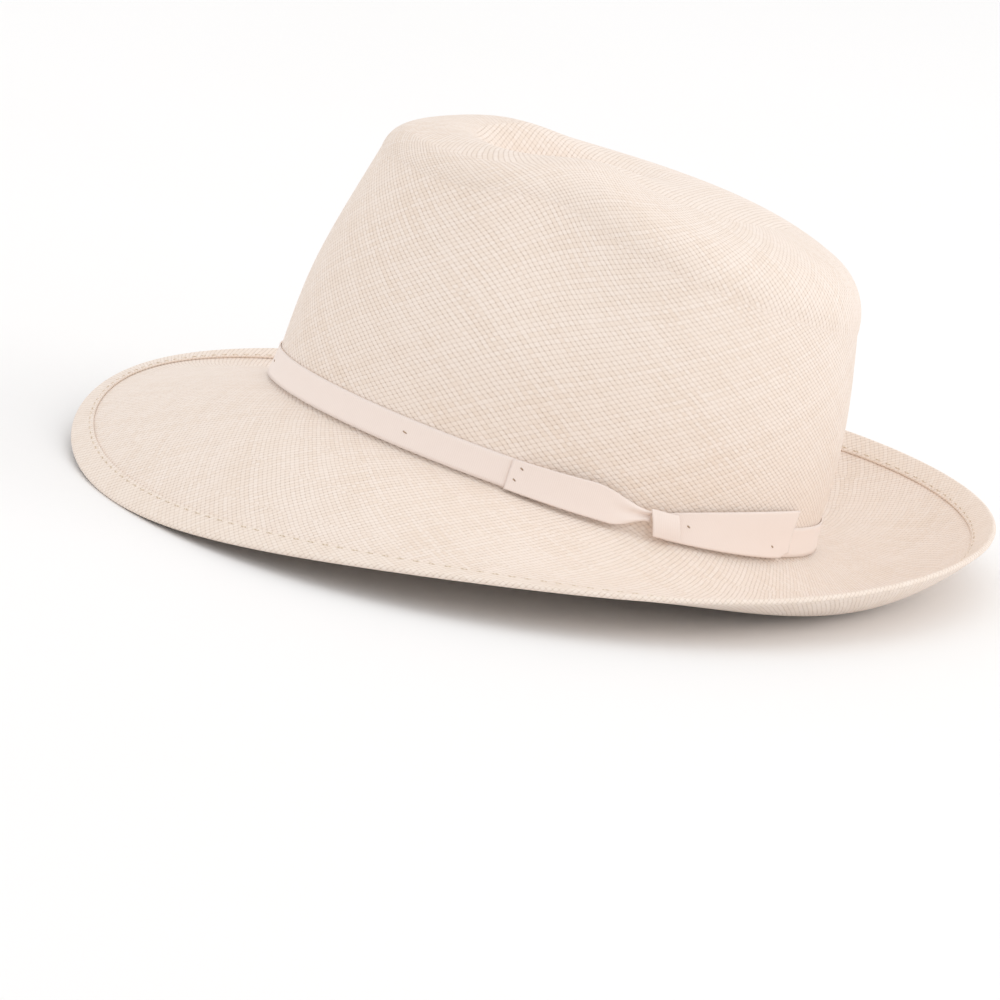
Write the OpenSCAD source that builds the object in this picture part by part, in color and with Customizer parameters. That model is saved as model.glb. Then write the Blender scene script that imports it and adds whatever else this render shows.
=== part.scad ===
// Panama hat: woven straw body with a teardrop crown and a snapped brim, a ribbon
// band with a flat side bow, and a stitched-in sweatband. Millimetres, +Z up when the
// hat stands on its brim, front towards -Y, wearer's left towards +X. The origin is
// the centre of the head opening.

/* [Head opening] */
// half length of the crown's foot, front to back, outside
foot_half_length = 101; // [96:0.5:106]
// half width of the crown's foot, outside
foot_half_width = 84.5; // [80:0.5:89]
// how much wider the back of the oval is than its front
foot_egg = 0.05; // [0:0.01:0.1]
// lean of the crown backwards while the hat stands on its brim, degrees
stand_pitch = 9.8; // [6:0.1:12]

/* [Straw body] */
// thickness of the woven straw
straw_thickness = 1.1; // [0.8:0.1:1.6]
// height of the crown's rim above the head opening
crown_height = 98.9; // [90:0.1:108]
// height of the dome behind the dent
dome_top = 106.3; // [100:0.1:114]
// inward lean of the crown wall, mm per mm of height
wall_lean = 0.112; // [0.05:0.001:0.2]
// outward swell of the crown wall
wall_swell = 3; // [0:0.1:5]
// radius over the crown's rim
rim_radius = 17.5; // [14:0.5:22]
// how much tighter that radius is at the front
rim_tighten = 7.5; // [0:0.5:9]
// depth of the dent in the crown's top
dent_depth = 18; // [8:0.5:22]
// half width of that dent
dent_half_width = 15; // [12:0.5:24]
// depth of the two front pinches
pinch_depth = 15; // [4:0.5:17]
// place of the pinches, degrees from the front
pinch_angle = 49; // [42:1:60]

/* [Brim] */
// mean width of the brim
brim_width = 58.5; // [50:0.5:70]
// drop of the brim's edge from back to front, half of it
brim_snap = 35.4; // [25:0.1:40]
// width of the folded hem
hem_width = 5.4; // [4:0.1:9]

/* [Trim] */
// height of the ribbon band
band_height = 10; // [8:0.5:14]
// thickness of the ribbon
ribbon_thickness = 0.5; // [0.3:0.1:0.8]
// height of the sweatband
sweat_height = 32; // [26:1:38]

/* [Hidden] */
// one node, or all of them

turn_steps = 72;                    // steps round the hat
turn = 360 / turn_steps;
fit_gap = 0.25;                     // gap between one layer and the next
break_radius = 2.4;                 // soft corner where the brim leaves the crown
edge_nose = straw_thickness / 2;    // roll of the folded edge beyond the body
probe = 0.2;                        // step of the finite differences, degrees and shares
pinch_spread = 18.5;                // half width of a pinch, degrees
pinch_start = 0.32;                 // share of the height where a pinch begins
pinch_rise = 6.2;                   // lift of the rim beside the pinches
front_drop = 2.6;                   // how much lower the rim is at the front
front_spread = 38;                  // half width of that, degrees
rim_end = 67;                       // where the rim hands over to the dome, degrees
dent_front = -72;                   // where the dent begins behind the front
dent_ramp = 34;                     // length over which it deepens
dent_rear = -47;                    // where it begins to fade
dent_fade = 62;                     // length over which it fades
tip_centre_y = 4;                   // centre of the crown's top
thread_radius = 0.28;

straw_colour = [0.93, 0.88, 0.80];
ribbon_colour = [0.94, 0.88, 0.84];
leather_colour = [0.90, 0.85, 0.77];
thread_colour = [0.84, 0.78, 0.70];

// ---- helpers ----
function smooth(x, a, b) = let (q = max(0, min(1, (x - a) / (b - a)))) q * q * (3 - 2 * q);
function bell(d, w) = exp(-(d / w) * (d / w));
function from_front(t) = abs(((t + 180) % 360) - 180);
function unit(v) = v / norm(v);

// ---- the oval of the crown's foot: t runs from the front to the wearer's left ----
function oval(t) = [
    foot_half_width * (1 - foot_egg * cos(t)) * sin(t),
    -foot_half_length * cos(t)
];
function oval_out(t) =
    let (d = oval(t + probe) - oval(t - probe)) unit([d.y, -d.x]);
function out_from_oval(t, d, z) =
    let (p = oval(t), n = oval_out(t)) [p.x + n.x * d, p.y + n.y * d, z];

// ---- brim: r runs from the crown to the edge ----
function foot_z(t) = 0.7 * cos(2 * t);
function brim_reach(t) = brim_width + 0.8 * cos(t) - 0.9 * cos(2 * t) - 3.8 * cos(3 * t);
function edge_z(t) =
    -5.5 - brim_snap * cos(t) - 1.9 * cos(2 * t) - 2.3 * cos(3 * t) - cos(4 * t);
function middle_z(t) =
    -7.8 - brim_snap / 4 * cos(t) + 3.1 * cos(2 * t) - 3 * cos(3 * t);
function brim_roll(t) = 6 - 3.7 * cos(t) - 1.9 * cos(2 * t);
function brim_z(t, r) =
    foot_z(t) * (1 - r) * (1 - 2 * r) + 4 * middle_z(t) * r * (1 - r)
    + edge_z(t) * r * (2 * r - 1) + brim_roll(t) * r * (1 - r) * (1 - 2 * r);
function brim_point(t, r) = out_from_oval(t, r * (brim_reach(t) - edge_nose), brim_z(t, r));

// ---- crown wall, rim and top ----
function rim_z(t) =
    crown_height + pinch_rise * bell(from_front(t) - pinch_angle + 1.4, pinch_spread)
    - front_drop * bell(from_front(t), front_spread);
function rim_r(t) = rim_radius - rim_tighten * cos(t);
function wall_top(t) = rim_z(t) - rim_r(t);
function wall_inset(t, z) =
    (wall_lean - 0.015 * cos(t)) * z - wall_swell * sin(180 * min(1, z / wall_top(t)));
function pinch(t, z) =
    pinch_depth * bell(from_front(t) - pinch_angle, pinch_spread)
    * smooth(z / rim_z(t), pinch_start, 1);
function wall_point(t, z, out) =
    out_from_oval(t, out - wall_inset(t, z) - pinch(t, z), z + foot_z(t) * max(0, 1 - z / 60));
// a runs over the rim from 0 at the wall to rim_end at the dome
function rim_point(t, a) =
    let (z = wall_top(t) + rim_r(t) * sin(a))
    out_from_oval(t, -wall_inset(t, wall_top(t)) - rim_r(t) * (1 - cos(a)) - pinch(t, z), z);
function dent(x, y) =
    dent_depth * bell(x, dent_half_width)
    * smooth(y, dent_front, dent_front + dent_ramp)
    * (1 - smooth(y, dent_rear, dent_rear + dent_fade));
// c runs over the dome from 0 at the rim to 1 in its middle
function tip_point(t, c) =
    let (
        p = rim_point(t, rim_end),
        x = p.x * (1 - c),
        y = tip_centre_y + (p.y - tip_centre_y) * (1 - c),
        climb = norm([p.x, p.y - tip_centre_y]) / tan(rim_end),
        even = smooth(c, 0, 1)
    )
    [
        x,
        y,
        p.z * (1 - even) + dome_top * even + climb * c * (1 - c) * (1 - c)
        - dent(x, y) * smooth(c, 0, 0.3)
    ];
// u runs round the soft corner between brim and crown, from 0 to 1
function break_point(t, u) =
    let (
        a = brim_point(t, break_radius / brim_reach(t)),
        b = out_from_oval(t, 0, foot_z(t)),
        c = wall_point(t, break_radius, 0)
    )
    a * (1 - u) * (1 - u) + b * 2 * u * (1 - u) + c * u * u;

// rows of the body's upper surface, from the brim's edge to the middle of the top
BODY_ROWS = concat(
    [["edge", 1], ["edge", 0.5], ["edge", 0]],
    [for (i = [1:6]) ["brim", 1 - i / 7]],
    [for (i = [0:4]) ["break", i / 4]],
    [for (i = [1:8]) ["wall", i / 8]],
    [for (i = [1:4]) ["rim", i * rim_end / 4]],
    [for (i = [1:7]) ["tip", i * 0.135]]
);
function body_point(t, row) =
    let (inner = break_radius / brim_reach(t), outer = 1 - hem_width / brim_reach(t))
    row[0] == "edge" ? brim_point(t, outer + (1 - outer) * row[1]) :
    row[0] == "brim" ? brim_point(t, inner + (outer - inner) * row[1]) :
    row[0] == "break" ? break_point(t, row[1]) :
    row[0] == "wall" ? wall_point(t, break_radius + (wall_top(t) - break_radius) * row[1], 0) :
    row[0] == "rim" ? rim_point(t, row[1]) :
    tip_point(t, row[1]);

function angles(from, step, count) = [for (i = [0:count - 1]) from + i * step];
ALL_ROUND = angles(0, turn, turn_steps);
SURFACE = [for (t = ALL_ROUND) [for (row = BODY_ROWS) body_point(t, row)]];

// normals of a grid that closes round its first index, pointing out of the hat
function grid_normals(g) = [
    for (i = [0:len(g) - 1]) [
        for (j = [0:len(g[0]) - 1])
            let (
                across = g[(i + 1) % len(g)][j] - g[(i + len(g) - 1) % len(g)][j],
                along = g[i][min(j + 1, len(g[0]) - 1)] - g[i][max(j - 1, 0)]
            )
            unit(cross(across, along))
    ]
];
function pushed(g, n, d) = [
    for (i = [0:len(g) - 1]) [for (j = [0:len(g[0]) - 1]) g[i][j] + n[i][j] * d]
];

function flat(rows) = [for (row = rows) for (p = row) p];

// triangles between two rows of a grid; base is the index of its first point
function skin(base, n, m, wrap, flip) = [
    for (i = [0:n - (wrap ? 1 : 2)], j = [0:m - 2], k = [0:1])
        let (
            a = base + i * m + j,
            b = base + ((i + 1) % n) * m + j,
            tri = k == 0 ? [a, b, b + 1] : [a, b + 1, a + 1]
        )
        flip ? [tri[2], tri[1], tri[0]] : tri
];
// triangles that join the same row of the outer and the inner grid
function seam(size, n, m, j, wrap, flip) = [
    for (i = [0:n - (wrap ? 1 : 2)], k = [0:1])
        let (
            a = i * m + j,
            b = ((i + 1) % n) * m + j,
            tri = k == 0 ? [a, a + size, b + size] : [a, b + size, b]
        )
        flip ? [tri[2], tri[1], tri[0]] : tri
];
function end_seam(size, i, m, flip) = [
    for (j = [0:m - 2], k = [0:1])
        let (
            a = i * m + j,
            tri = k == 0 ? [a, a + 1, a + 1 + size] : [a, a + 1 + size, a + size]
        )
        flip ? [tri[2], tri[1], tri[0]] : tri
];

// closed sheet between an outer and an inner grid
module sheet(outer, inner, wrap) {
    n = len(outer);
    m = len(outer[0]);
    size = n * m;
    polyhedron(
        points = concat(flat(outer), flat(inner)),
        faces = concat(
            skin(0, n, m, wrap, true),
            skin(size, n, m, wrap, false),
            seam(size, n, m, 0, wrap, true),
            seam(size, n, m, m - 1, wrap, false),
            wrap ? [] : end_seam(size, 0, m, true),
            wrap ? [] : end_seam(size, n - 1, m, false)
        )
    );
}

// the same for the body, whose last row closes on a middle point
module capped_sheet(outer, inner, cap_outer, cap_inner) {
    n = len(outer);
    m = len(outer[0]);
    size = n * m;
    polyhedron(
        points = concat(flat(outer), flat(inner), [cap_outer, cap_inner]),
        faces = concat(
            skin(0, n, m, true, true),
            skin(size, n, m, true, false),
            seam(size, n, m, 0, true, true),
            [for (i = [0:n - 1]) [i * m + m - 1, 2 * size, ((i + 1) % n) * m + m - 1]],
            [for (i = [0:n - 1]) [size + ((i + 1) % n) * m + m - 1, 2 * size + 1, size + i * m + m - 1]]
        )
    );
}

// closed ring swept round the hat: sections[i] is the outline at step i
module swept_ring(sections) {
    n = len(sections);
    m = len(sections[0]);
    polyhedron(
        points = flat(sections),
        faces = [
            for (i = [0:n - 1], j = [0:m - 1], k = [0:1])
                let (
                    a = i * m + j,
                    b = ((i + 1) % n) * m + j,
                    c = ((i + 1) % n) * m + (j + 1) % m,
                    d = i * m + (j + 1) % m
                )
                k == 0 ? [a, c, b] : [a, d, c]
        ]
    );
}

// thread from one point to the other
module stitch(from, to) {
    along = to - from;
    length = norm(along);
    translate(from)
        rotate([0, acos(along.z / length), atan2(along.y, along.x)])
            cylinder(r = thread_radius, h = length, $fn = 16);
}

// everything is built on the head opening, then leant back to stand on the brim
module standing() {
    rotate([-stand_pitch, 0, 0])
        children();
}

// ---- straw body ----
module straw_body() {
    normals = grid_normals(SURFACE);
    top = tip_point(0, 1);
    color(straw_colour)
        standing()
            capped_sheet(
                SURFACE,
                pushed(SURFACE, normals, -straw_thickness),
                top,
                top - [0, 0, straw_thickness]
            );
}

// frame of the brim at (t, r): the point, the way out along the brim and the way up from it
function brim_out(t, r) = unit(brim_point(t, r + 0.01) - brim_point(t, r - 0.01));
function brim_up(t, r) =
    unit(cross(brim_point(t + probe, r) - brim_point(t - probe, r), brim_out(t, r)));
function from_edge(t, along, up) =
    brim_point(t, 1) + brim_out(t, 1) * along + brim_up(t, 1) * up;
function on_brim(t, in, up) =
    let (r = 1 - in / brim_reach(t)) brim_point(t, r) + brim_up(t, r) * up;

HEM_LAYER = 0.8;
HEM_GAP = 0.1;
module brim_hem() {
    low = -straw_thickness;
    high = HEM_GAP + HEM_LAYER;
    middle = (low + high) / 2;
    half = (high - low) / 2;
    color(straw_colour)
        standing()
            swept_ring([
                for (t = ALL_ROUND) concat(
                    [on_brim(t, hem_width, HEM_GAP)],
                    [on_brim(t, hem_width / 2, HEM_GAP)],
                    [from_edge(t, 0.05, HEM_GAP)],
                    [from_edge(t, 0.05, low)],
                    [for (a = [-60:30:60]) from_edge(t, 0.05 + half * cos(a), middle + half * sin(a))],
                    [from_edge(t, 0.05, high)],
                    [on_brim(t, hem_width / 2, high)],
                    [on_brim(t, hem_width, high)]
                )
            ]);
}

HEM_STITCHES = 180;
HEM_STITCH_SHARE = 0.45;
module hem_stitching() {
    in = hem_width - 0.9;
    up = HEM_GAP + HEM_LAYER + 0.05;
    color(thread_colour)
        standing()
            for (t = angles(0, 360 / HEM_STITCHES, HEM_STITCHES))
                stitch(
                    on_brim(t, in, up),
                    on_brim(t + 360 / HEM_STITCHES * HEM_STITCH_SHARE, in, up)
                );
}

// ---- ribbon band ----
BAND_LOW = 0.9;
BAND_STEPS = 4;
BAND_FLARE = 1.1;                   // how far the soft corner pushes the lower edge out
// outside face of the band at height z above the head opening
function band_face(z) =
    let (low = 1 - max(0, min(1, (z - BAND_LOW) / band_height)))
    fit_gap + ribbon_thickness + BAND_FLARE * low * low;
// the band stops short of the bow's middle: its ends lie under the strip and the tail
BAND_FROM = 117;
BAND_TO = 425;
BAND_PARTS = 70;
function band_grid(in) = [
    for (t = angles(BAND_FROM, (BAND_TO - BAND_FROM) / BAND_PARTS, BAND_PARTS + 1)) [
        for (k = [0:BAND_STEPS])
            let (z = BAND_LOW + band_height * k / BAND_STEPS)
            wall_point(t, z, band_face(z) - in)
    ]
];
module hat_band() {
    color(ribbon_colour)
        standing()
            sheet(band_grid(0), band_grid(ribbon_thickness), false);
}

// short tacks that hold the band: [angle, height]
BAND_TACKS = [[34, 6.2], [340, 6], [290, 5.5], [236, 6], [168, 6]];
TACK_LENGTH = 1.6;
module band_tack_stitches() {
    color(thread_colour)
        standing()
            for (tack = BAND_TACKS)
                stitch(
                    wall_point(tack[0], tack[1], band_face(tack[1])),
                    wall_point(tack[0] + TACK_LENGTH / 1.6, tack[1] - 0.4, band_face(tack[1]))
                );
}

// ---- flat bow on the wearer's left ----
LOOP_FROM = 57;
LOOP_TO = 85.8;
KNOT_FROM = 85;
KNOT_TO = 90.8;
KNOT_LEAN = 1.7;                    // how far round the knot's lower edge is set
TAIL_FROM = 89.6;
TAIL_TO = 124.7;
STRIP_STEPS = 14;
KNOT_LIFT = 0.6;                    // how far the knot holds the strips off the band
LOOP_SWELL = 1.5;                   // how far the strip arches off the crown
TAIL_SWELL = 0.6;
// edges of the strip and of the tail; s runs along them from 0 to 1
function loop_low(s) = 0.5 + 3.9 * smooth(s, 0.72, 1);
function loop_high(s) = 10.8 + 2.4 * s - 5.2 * smooth(s, 0.55, 1);
function tail_low(s) = -0.1 + 0.9 * s + 1.6 * smooth(s, 0.88, 1);
function tail_high(s) = 8.9 + 15.4 * s - 7 * s * s;
function bow_face(z) = band_face(z) + fit_gap;
function loop_row(s, out) =
    [for (k = [0:3])
        let (z = loop_low(s) + (loop_high(s) - loop_low(s)) * k / 3)
        wall_point(
            LOOP_FROM + (LOOP_TO - LOOP_FROM) * s,
            z,
            bow_face(z) + out + LOOP_SWELL * sin(180 * s) + KNOT_LIFT * s
        )
    ];
function tail_row(s, out) =
    [for (k = [0:3])
        let (z = tail_low(s) + (tail_high(s) - tail_low(s)) * k / 3)
        wall_point(
            TAIL_FROM + (TAIL_TO - TAIL_FROM) * s,
            z,
            bow_face(z) + out + TAIL_SWELL * sin(180 * s) + KNOT_LIFT * (1 - s)
        )
    ];
module bow_loop() {
    color(ribbon_colour)
        standing()
            sheet(
                [for (i = [0:STRIP_STEPS]) loop_row(i / STRIP_STEPS, ribbon_thickness)],
                [for (i = [0:STRIP_STEPS]) loop_row(i / STRIP_STEPS, 0)],
                false
            );
}
module bow_tail() {
    color(ribbon_colour)
        standing()
            sheet(
                [for (i = [0:STRIP_STEPS]) tail_row(i / STRIP_STEPS, ribbon_thickness)],
                [for (i = [0:STRIP_STEPS]) tail_row(i / STRIP_STEPS, 0)],
                false
            );
}
KNOT_STEPS = 6;
KNOT_LOW = 0.4;
KNOT_HEIGHT = 8.7;
KNOT_BULGE = 2.4;
function knot_row(s, bulge) =
    [for (k = [0:KNOT_STEPS])
        let (
            q = k / KNOT_STEPS,
            z = KNOT_LOW + KNOT_HEIGHT * q,
            rise = 0.35 + 0.65 * sin(30 + 120 * q)
        )
        wall_point(
            KNOT_FROM + (KNOT_TO - KNOT_FROM) * s + KNOT_LEAN * (1 - q),
            z,
            bow_face(z) + KNOT_LIFT + ribbon_thickness + fit_gap + bulge * rise
        )
    ];
module bow_knot() {
    color(ribbon_colour)
        standing()
            sheet(
                [for (i = [0:KNOT_STEPS]) knot_row(i / KNOT_STEPS, KNOT_BULGE)],
                [for (i = [0:KNOT_STEPS]) knot_row(i / KNOT_STEPS, 0)],
                false
            );
}

// [angle, height, distance out from the bow's back]
BOW_TACKS = [[58.8, 8.8, 0.9], [58.1, 4.6, 0.75], [93.8, 6.3, 1.3], [117.2, 4.8, 1.05]];
module bow_tack_stitches() {
    color(thread_colour)
        standing()
            for (tack = BOW_TACKS)
                stitch(
                    wall_point(tack[0], tack[1], bow_face(tack[1]) + tack[2]),
                    wall_point(tack[0] + 0.7, tack[1] - 0.6, bow_face(tack[1]) + tack[2])
                );
}

// ---- sweatband, turned up inside the crown ----
SWEAT_OUT = -straw_thickness - 0.5;
SWEAT_THICKNESS = 0.9;
SWEAT_STEPS = 5;
SWEAT_LOW = 1.2;
function sweat_grid(out) = [
    for (t = ALL_ROUND) [
        for (k = [0:SWEAT_STEPS])
            wall_point(t, SWEAT_LOW + sweat_height * k / SWEAT_STEPS, out)
    ]
];
module sweatband() {
    color(leather_colour)
        standing()
            sheet(sweat_grid(SWEAT_OUT), sweat_grid(SWEAT_OUT - SWEAT_THICKNESS), true);
}

REED_RADIUS = 1.1;
module sweatband_reed() {
    out = SWEAT_OUT - SWEAT_THICKNESS / 2;
    z = SWEAT_LOW - REED_RADIUS - 0.1;
    color(leather_colour)
        standing()
            swept_ring([
                for (t = ALL_ROUND) [
                    for (a = [0:45:315])
                        out_from_oval(t, out + REED_RADIUS * cos(a), foot_z(t) + z + REED_RADIUS * sin(a))
                ]
            ]);
}

SWEAT_STITCHES = 84;
module sweatband_stitching() {
    z = SWEAT_LOW + 2;
    out = SWEAT_OUT - SWEAT_THICKNESS - 0.05;
    step = 360 / SWEAT_STITCHES;
    color(thread_colour)
        standing()
            for (t = angles(0, step, SWEAT_STITCHES))
                stitch(wall_point(t, z, out), wall_point(t + step * 0.5, z, out));
}

SEAM_STITCHES = 7;
SEAM_HALF_WIDTH = 1.6;
module sweatband_seam_stitches() {
    out = SWEAT_OUT - SWEAT_THICKNESS - 0.05;
    rise = (sweat_height - 6) / SEAM_STITCHES;
    color(thread_colour)
        standing()
            for (k = [0:SEAM_STITCHES - 1], side = [-1, 1])
                stitch(
                    wall_point(180 - side * SEAM_HALF_WIDTH / 1.7, SWEAT_LOW + 4 + k * rise, out),
                    wall_point(180 + side * SEAM_HALF_WIDTH / 1.7, SWEAT_LOW + 4 + (k + 0.8) * rise, out)
                );
}

straw_body();
brim_hem();
hem_stitching();
hat_band();
band_tack_stitches();
bow_loop();
bow_knot();
bow_tail();
bow_tack_stitches();
sweatband();
sweatband_reed();
sweatband_stitching();
sweatband_seam_stitches();
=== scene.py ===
"""A panama hat: woven straw body, folded hem, ribbon band with a flat side bow, sweatband.

Every shape is worked out on the head opening, in millimetres and degrees, and then leant
back so that the hat stands on its brim. Turns start at the front and run to the wearer's left.
"""

import logging
import math
from dataclasses import dataclass, field
from enum import Enum

import bpy
import numpy as np
from mathutils import Matrix, Vector


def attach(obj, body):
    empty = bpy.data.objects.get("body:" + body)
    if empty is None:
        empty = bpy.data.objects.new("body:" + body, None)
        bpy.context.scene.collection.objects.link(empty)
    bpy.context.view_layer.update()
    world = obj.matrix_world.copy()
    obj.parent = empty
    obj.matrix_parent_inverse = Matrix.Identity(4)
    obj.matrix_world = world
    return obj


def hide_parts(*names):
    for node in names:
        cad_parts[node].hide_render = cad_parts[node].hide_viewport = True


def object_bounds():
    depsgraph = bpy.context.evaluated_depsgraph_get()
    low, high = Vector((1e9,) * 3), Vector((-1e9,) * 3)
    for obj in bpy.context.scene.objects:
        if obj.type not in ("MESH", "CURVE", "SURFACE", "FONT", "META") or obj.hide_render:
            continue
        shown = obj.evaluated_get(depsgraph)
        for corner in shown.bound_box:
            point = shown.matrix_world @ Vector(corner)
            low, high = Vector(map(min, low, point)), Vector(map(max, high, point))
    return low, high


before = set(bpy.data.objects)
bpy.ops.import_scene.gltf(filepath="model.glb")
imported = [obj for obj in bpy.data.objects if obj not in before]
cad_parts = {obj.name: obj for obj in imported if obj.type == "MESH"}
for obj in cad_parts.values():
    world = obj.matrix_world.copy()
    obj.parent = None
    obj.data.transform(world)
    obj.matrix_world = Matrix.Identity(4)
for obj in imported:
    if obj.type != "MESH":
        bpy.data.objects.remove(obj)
CAD_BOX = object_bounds()

LOG = logging.getLogger("panama_hat")
MM = 0.001
ROOT = "root"


class Slot(Enum):
    """Material slots of the record."""

    STRAW = "straw"
    HEM = "hem_straw"
    HEM_THREAD = "hem_thread"
    RIBBON = "ribbon"
    TACK = "tack_thread"
    LEATHER = "sweatband_leather"
    REED = "reed_cover"
    SWEAT_THREAD = "sweatband_thread"


class Closing(Enum):
    """Which ways a lofted surface joins up with itself."""

    OPEN = "open"
    ROUND = "round"
    RING = "ring"


def smooth(value: np.ndarray, start: float, end: float) -> np.ndarray:
    """Eased step from 0 at start to 1 at end."""
    share = np.clip((value - start) / (end - start), 0.0, 1.0)
    return share * share * (3.0 - 2.0 * share)


def bell(distance: np.ndarray, width: float) -> np.ndarray:
    """Bell curve, 1 in the middle."""
    return np.exp(-((distance / width) ** 2))


def unit(vectors: np.ndarray) -> np.ndarray:
    """Vectors of length 1."""
    return vectors / np.linalg.norm(vectors, axis=-1, keepdims=True)


def cosine(degrees: np.ndarray) -> np.ndarray:
    """Cosine of an angle in degrees."""
    return np.cos(np.radians(degrees))


def sine(degrees: np.ndarray) -> np.ndarray:
    """Sine of an angle in degrees."""
    return np.sin(np.radians(degrees))


def waves(turn: np.ndarray, sizes: tuple[float, ...]) -> np.ndarray:
    """Sum of waves round the hat: the first size is a constant, the next goes once round."""
    return sum(size * cosine(times * turn) for times, size in enumerate(sizes))


def shares(columns: int, rows: int) -> tuple[np.ndarray, np.ndarray]:
    """Shares from 0 to 1 along and across a piece with so many columns and rows of faces."""
    return np.meshgrid(np.linspace(0.0, 1.0, columns + 1), np.linspace(0.0, 1.0, rows + 1))


@dataclass(frozen=True)
class HatForm:
    """The blocked shape of the hat, as the hatter's block and flange give it.

    A field ending in waves holds the sizes of the waves that go 0, 1, 2 and more times round.
    """

    foot_half_length: float = 101.0
    foot_half_width: float = 84.5
    foot_egg: float = 0.05
    foot_wave: float = 0.7
    foot_wave_height: float = 60.0
    stand_pitch: float = 9.8
    straw: float = 1.1
    crown_height: float = 98.9
    wall_lean: float = 0.112
    front_lean: float = 0.015
    wall_swell: float = 3.0
    rim_radius: float = 17.5
    rim_tighten: float = 7.5
    front_drop: float = 2.6
    front_spread: float = 38.0
    rim_end: float = 67.0
    dome_top: float = 106.3
    dent_depth: float = 18.0
    dent_half_width: float = 15.0
    dent_front: float = -72.0
    dent_ramp: float = 34.0
    dent_rear: float = -47.0
    dent_fade: float = 62.0
    dent_edge: float = 0.3
    pinch_depth: float = 15.0
    pinch_angle: float = 49.0
    pinch_spread: float = 18.5
    pinch_start: float = 0.32
    pinch_rise: float = 6.2
    pinch_rise_shift: float = 1.4
    tip_centre: float = 4.0
    brim_width: float = 58.5
    brim_snap: float = 35.4
    width_waves: tuple[float, ...] = (0.0, 0.8, -0.9, -3.8)
    edge_waves: tuple[float, ...] = (-5.5, 0.0, -1.9, -2.3, -1.0)
    middle_waves: tuple[float, ...] = (-7.8, 0.0, 3.1, -3.0)
    roll_waves: tuple[float, ...] = (6.0, -3.7, -1.9)
    hem_width: float = 5.4
    break_radius: float = 2.4
    band_low: float = 0.9
    band_height: float = 10.0
    ribbon: float = 0.5
    gap: float = 0.25
    band_flare: float = 1.1

    def oval(self, turn: np.ndarray) -> np.ndarray:
        """Points of the crown's foot in the head opening's plane."""
        wide = self.foot_half_width * (1.0 - self.foot_egg * cosine(turn)) * sine(turn)
        return np.stack([wide, -self.foot_half_length * cosine(turn)], axis=-1)

    def beside(self, turn: np.ndarray, out: np.ndarray, height: np.ndarray) -> np.ndarray:
        """Points at a distance out from the foot's oval, at a height over the opening.

        Args:
            turn: Angle from the front.
            out: Distance out, square to the oval.
            height: Height above the head opening.

        Returns:
            Points in millimetres, one row of three per input.
        """
        turn, out, height = np.broadcast_arrays(turn, out, height)
        step = self.oval(turn + 0.2) - self.oval(turn - 0.2)
        away = unit(np.stack([step[..., 1], -step[..., 0]], axis=-1))
        flat = self.oval(turn) + away * out[..., None]
        return np.concatenate([flat, height[..., None]], axis=-1)

    def foot_z(self, turn: np.ndarray) -> np.ndarray:
        """Height of the line where the crown leaves the brim."""
        return self.foot_wave * cosine(2 * turn)

    def brim_reach(self, turn: np.ndarray) -> np.ndarray:
        """Width of the brim at an angle from the front."""
        return self.brim_width + waves(turn, self.width_waves)

    def brim_z(self, turn: np.ndarray, share: np.ndarray) -> np.ndarray:
        """Height of the brim: a curve through its foot, middle and edge, with an S-shaped roll.

        Args:
            turn: Angle from the front.
            share: 0 at the crown and 1 at the edge.

        Returns:
            Height over the head opening.
        """
        snap = self.brim_snap * cosine(turn)
        edge = waves(turn, self.edge_waves) - snap
        middle = waves(turn, self.middle_waves) - snap / 4
        roll = waves(turn, self.roll_waves)
        rest = 1.0 - share
        return (
            self.foot_z(turn) * rest * (1 - 2 * share)
            + 4 * middle * share * rest
            + edge * share * (2 * share - 1)
            + roll * share * rest * (1 - 2 * share)
        )

    def brim(self, turn: np.ndarray, share: np.ndarray) -> np.ndarray:
        """Points of the brim's upper side."""
        reach = self.brim_reach(turn) - self.straw / 2
        return self.beside(turn, share * reach, self.brim_z(turn, share))

    def on_brim(self, turn: np.ndarray, inward: np.ndarray, up: np.ndarray) -> np.ndarray:
        """Points on the brim, measured inward from its edge and up from its surface.

        Args:
            turn: Angle from the front.
            inward: Distance in from the edge; below 0 it runs on past the edge.
            up: Distance above the straw.

        Returns:
            Points in millimetres.
        """
        turn, inward, up = np.broadcast_arrays(turn, inward, up)
        share = 1.0 - np.maximum(inward, 0.0) / self.brim_reach(turn)
        out = unit(self.brim(turn, share + 0.01) - self.brim(turn, share - 0.01))
        along = self.brim(turn + 0.2, share) - self.brim(turn - 0.2, share)
        lift = unit(np.cross(along, out))
        lift *= np.sign(lift[..., 2:3])
        beyond = np.maximum(-inward, 0.0)
        return self.brim(turn, share) + out * beyond[..., None] + lift * up[..., None]

    def front_angle(self, turn: np.ndarray) -> np.ndarray:
        """Angle from the front, the same on both sides."""
        return np.abs((turn + 180.0) % 360.0 - 180.0)

    def rim_z(self, turn: np.ndarray) -> np.ndarray:
        """Height of the crown's rim, which rises beside the pinches and drops at the front.

        Args:
            turn: Angle from the front.

        Returns:
            Height over the head opening.
        """
        from_front = self.front_angle(turn)
        off = from_front - self.pinch_angle + self.pinch_rise_shift
        drop = self.front_drop * bell(from_front, self.front_spread)
        return self.crown_height + self.pinch_rise * bell(off, self.pinch_spread) - drop

    def rim_r(self, turn: np.ndarray) -> np.ndarray:
        """Radius over the crown's rim."""
        return self.rim_radius - self.rim_tighten * cosine(turn)

    def wall_top(self, turn: np.ndarray) -> np.ndarray:
        """Height where the wall turns over into the rim."""
        return self.rim_z(turn) - self.rim_r(turn)

    def wall_inset(self, turn: np.ndarray, height: np.ndarray) -> np.ndarray:
        """How far the wall has come in at a height."""
        lean = (self.wall_lean - self.front_lean * cosine(turn)) * height
        return lean - self.wall_swell * sine(180.0 * np.minimum(1.0, height / self.wall_top(turn)))

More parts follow.
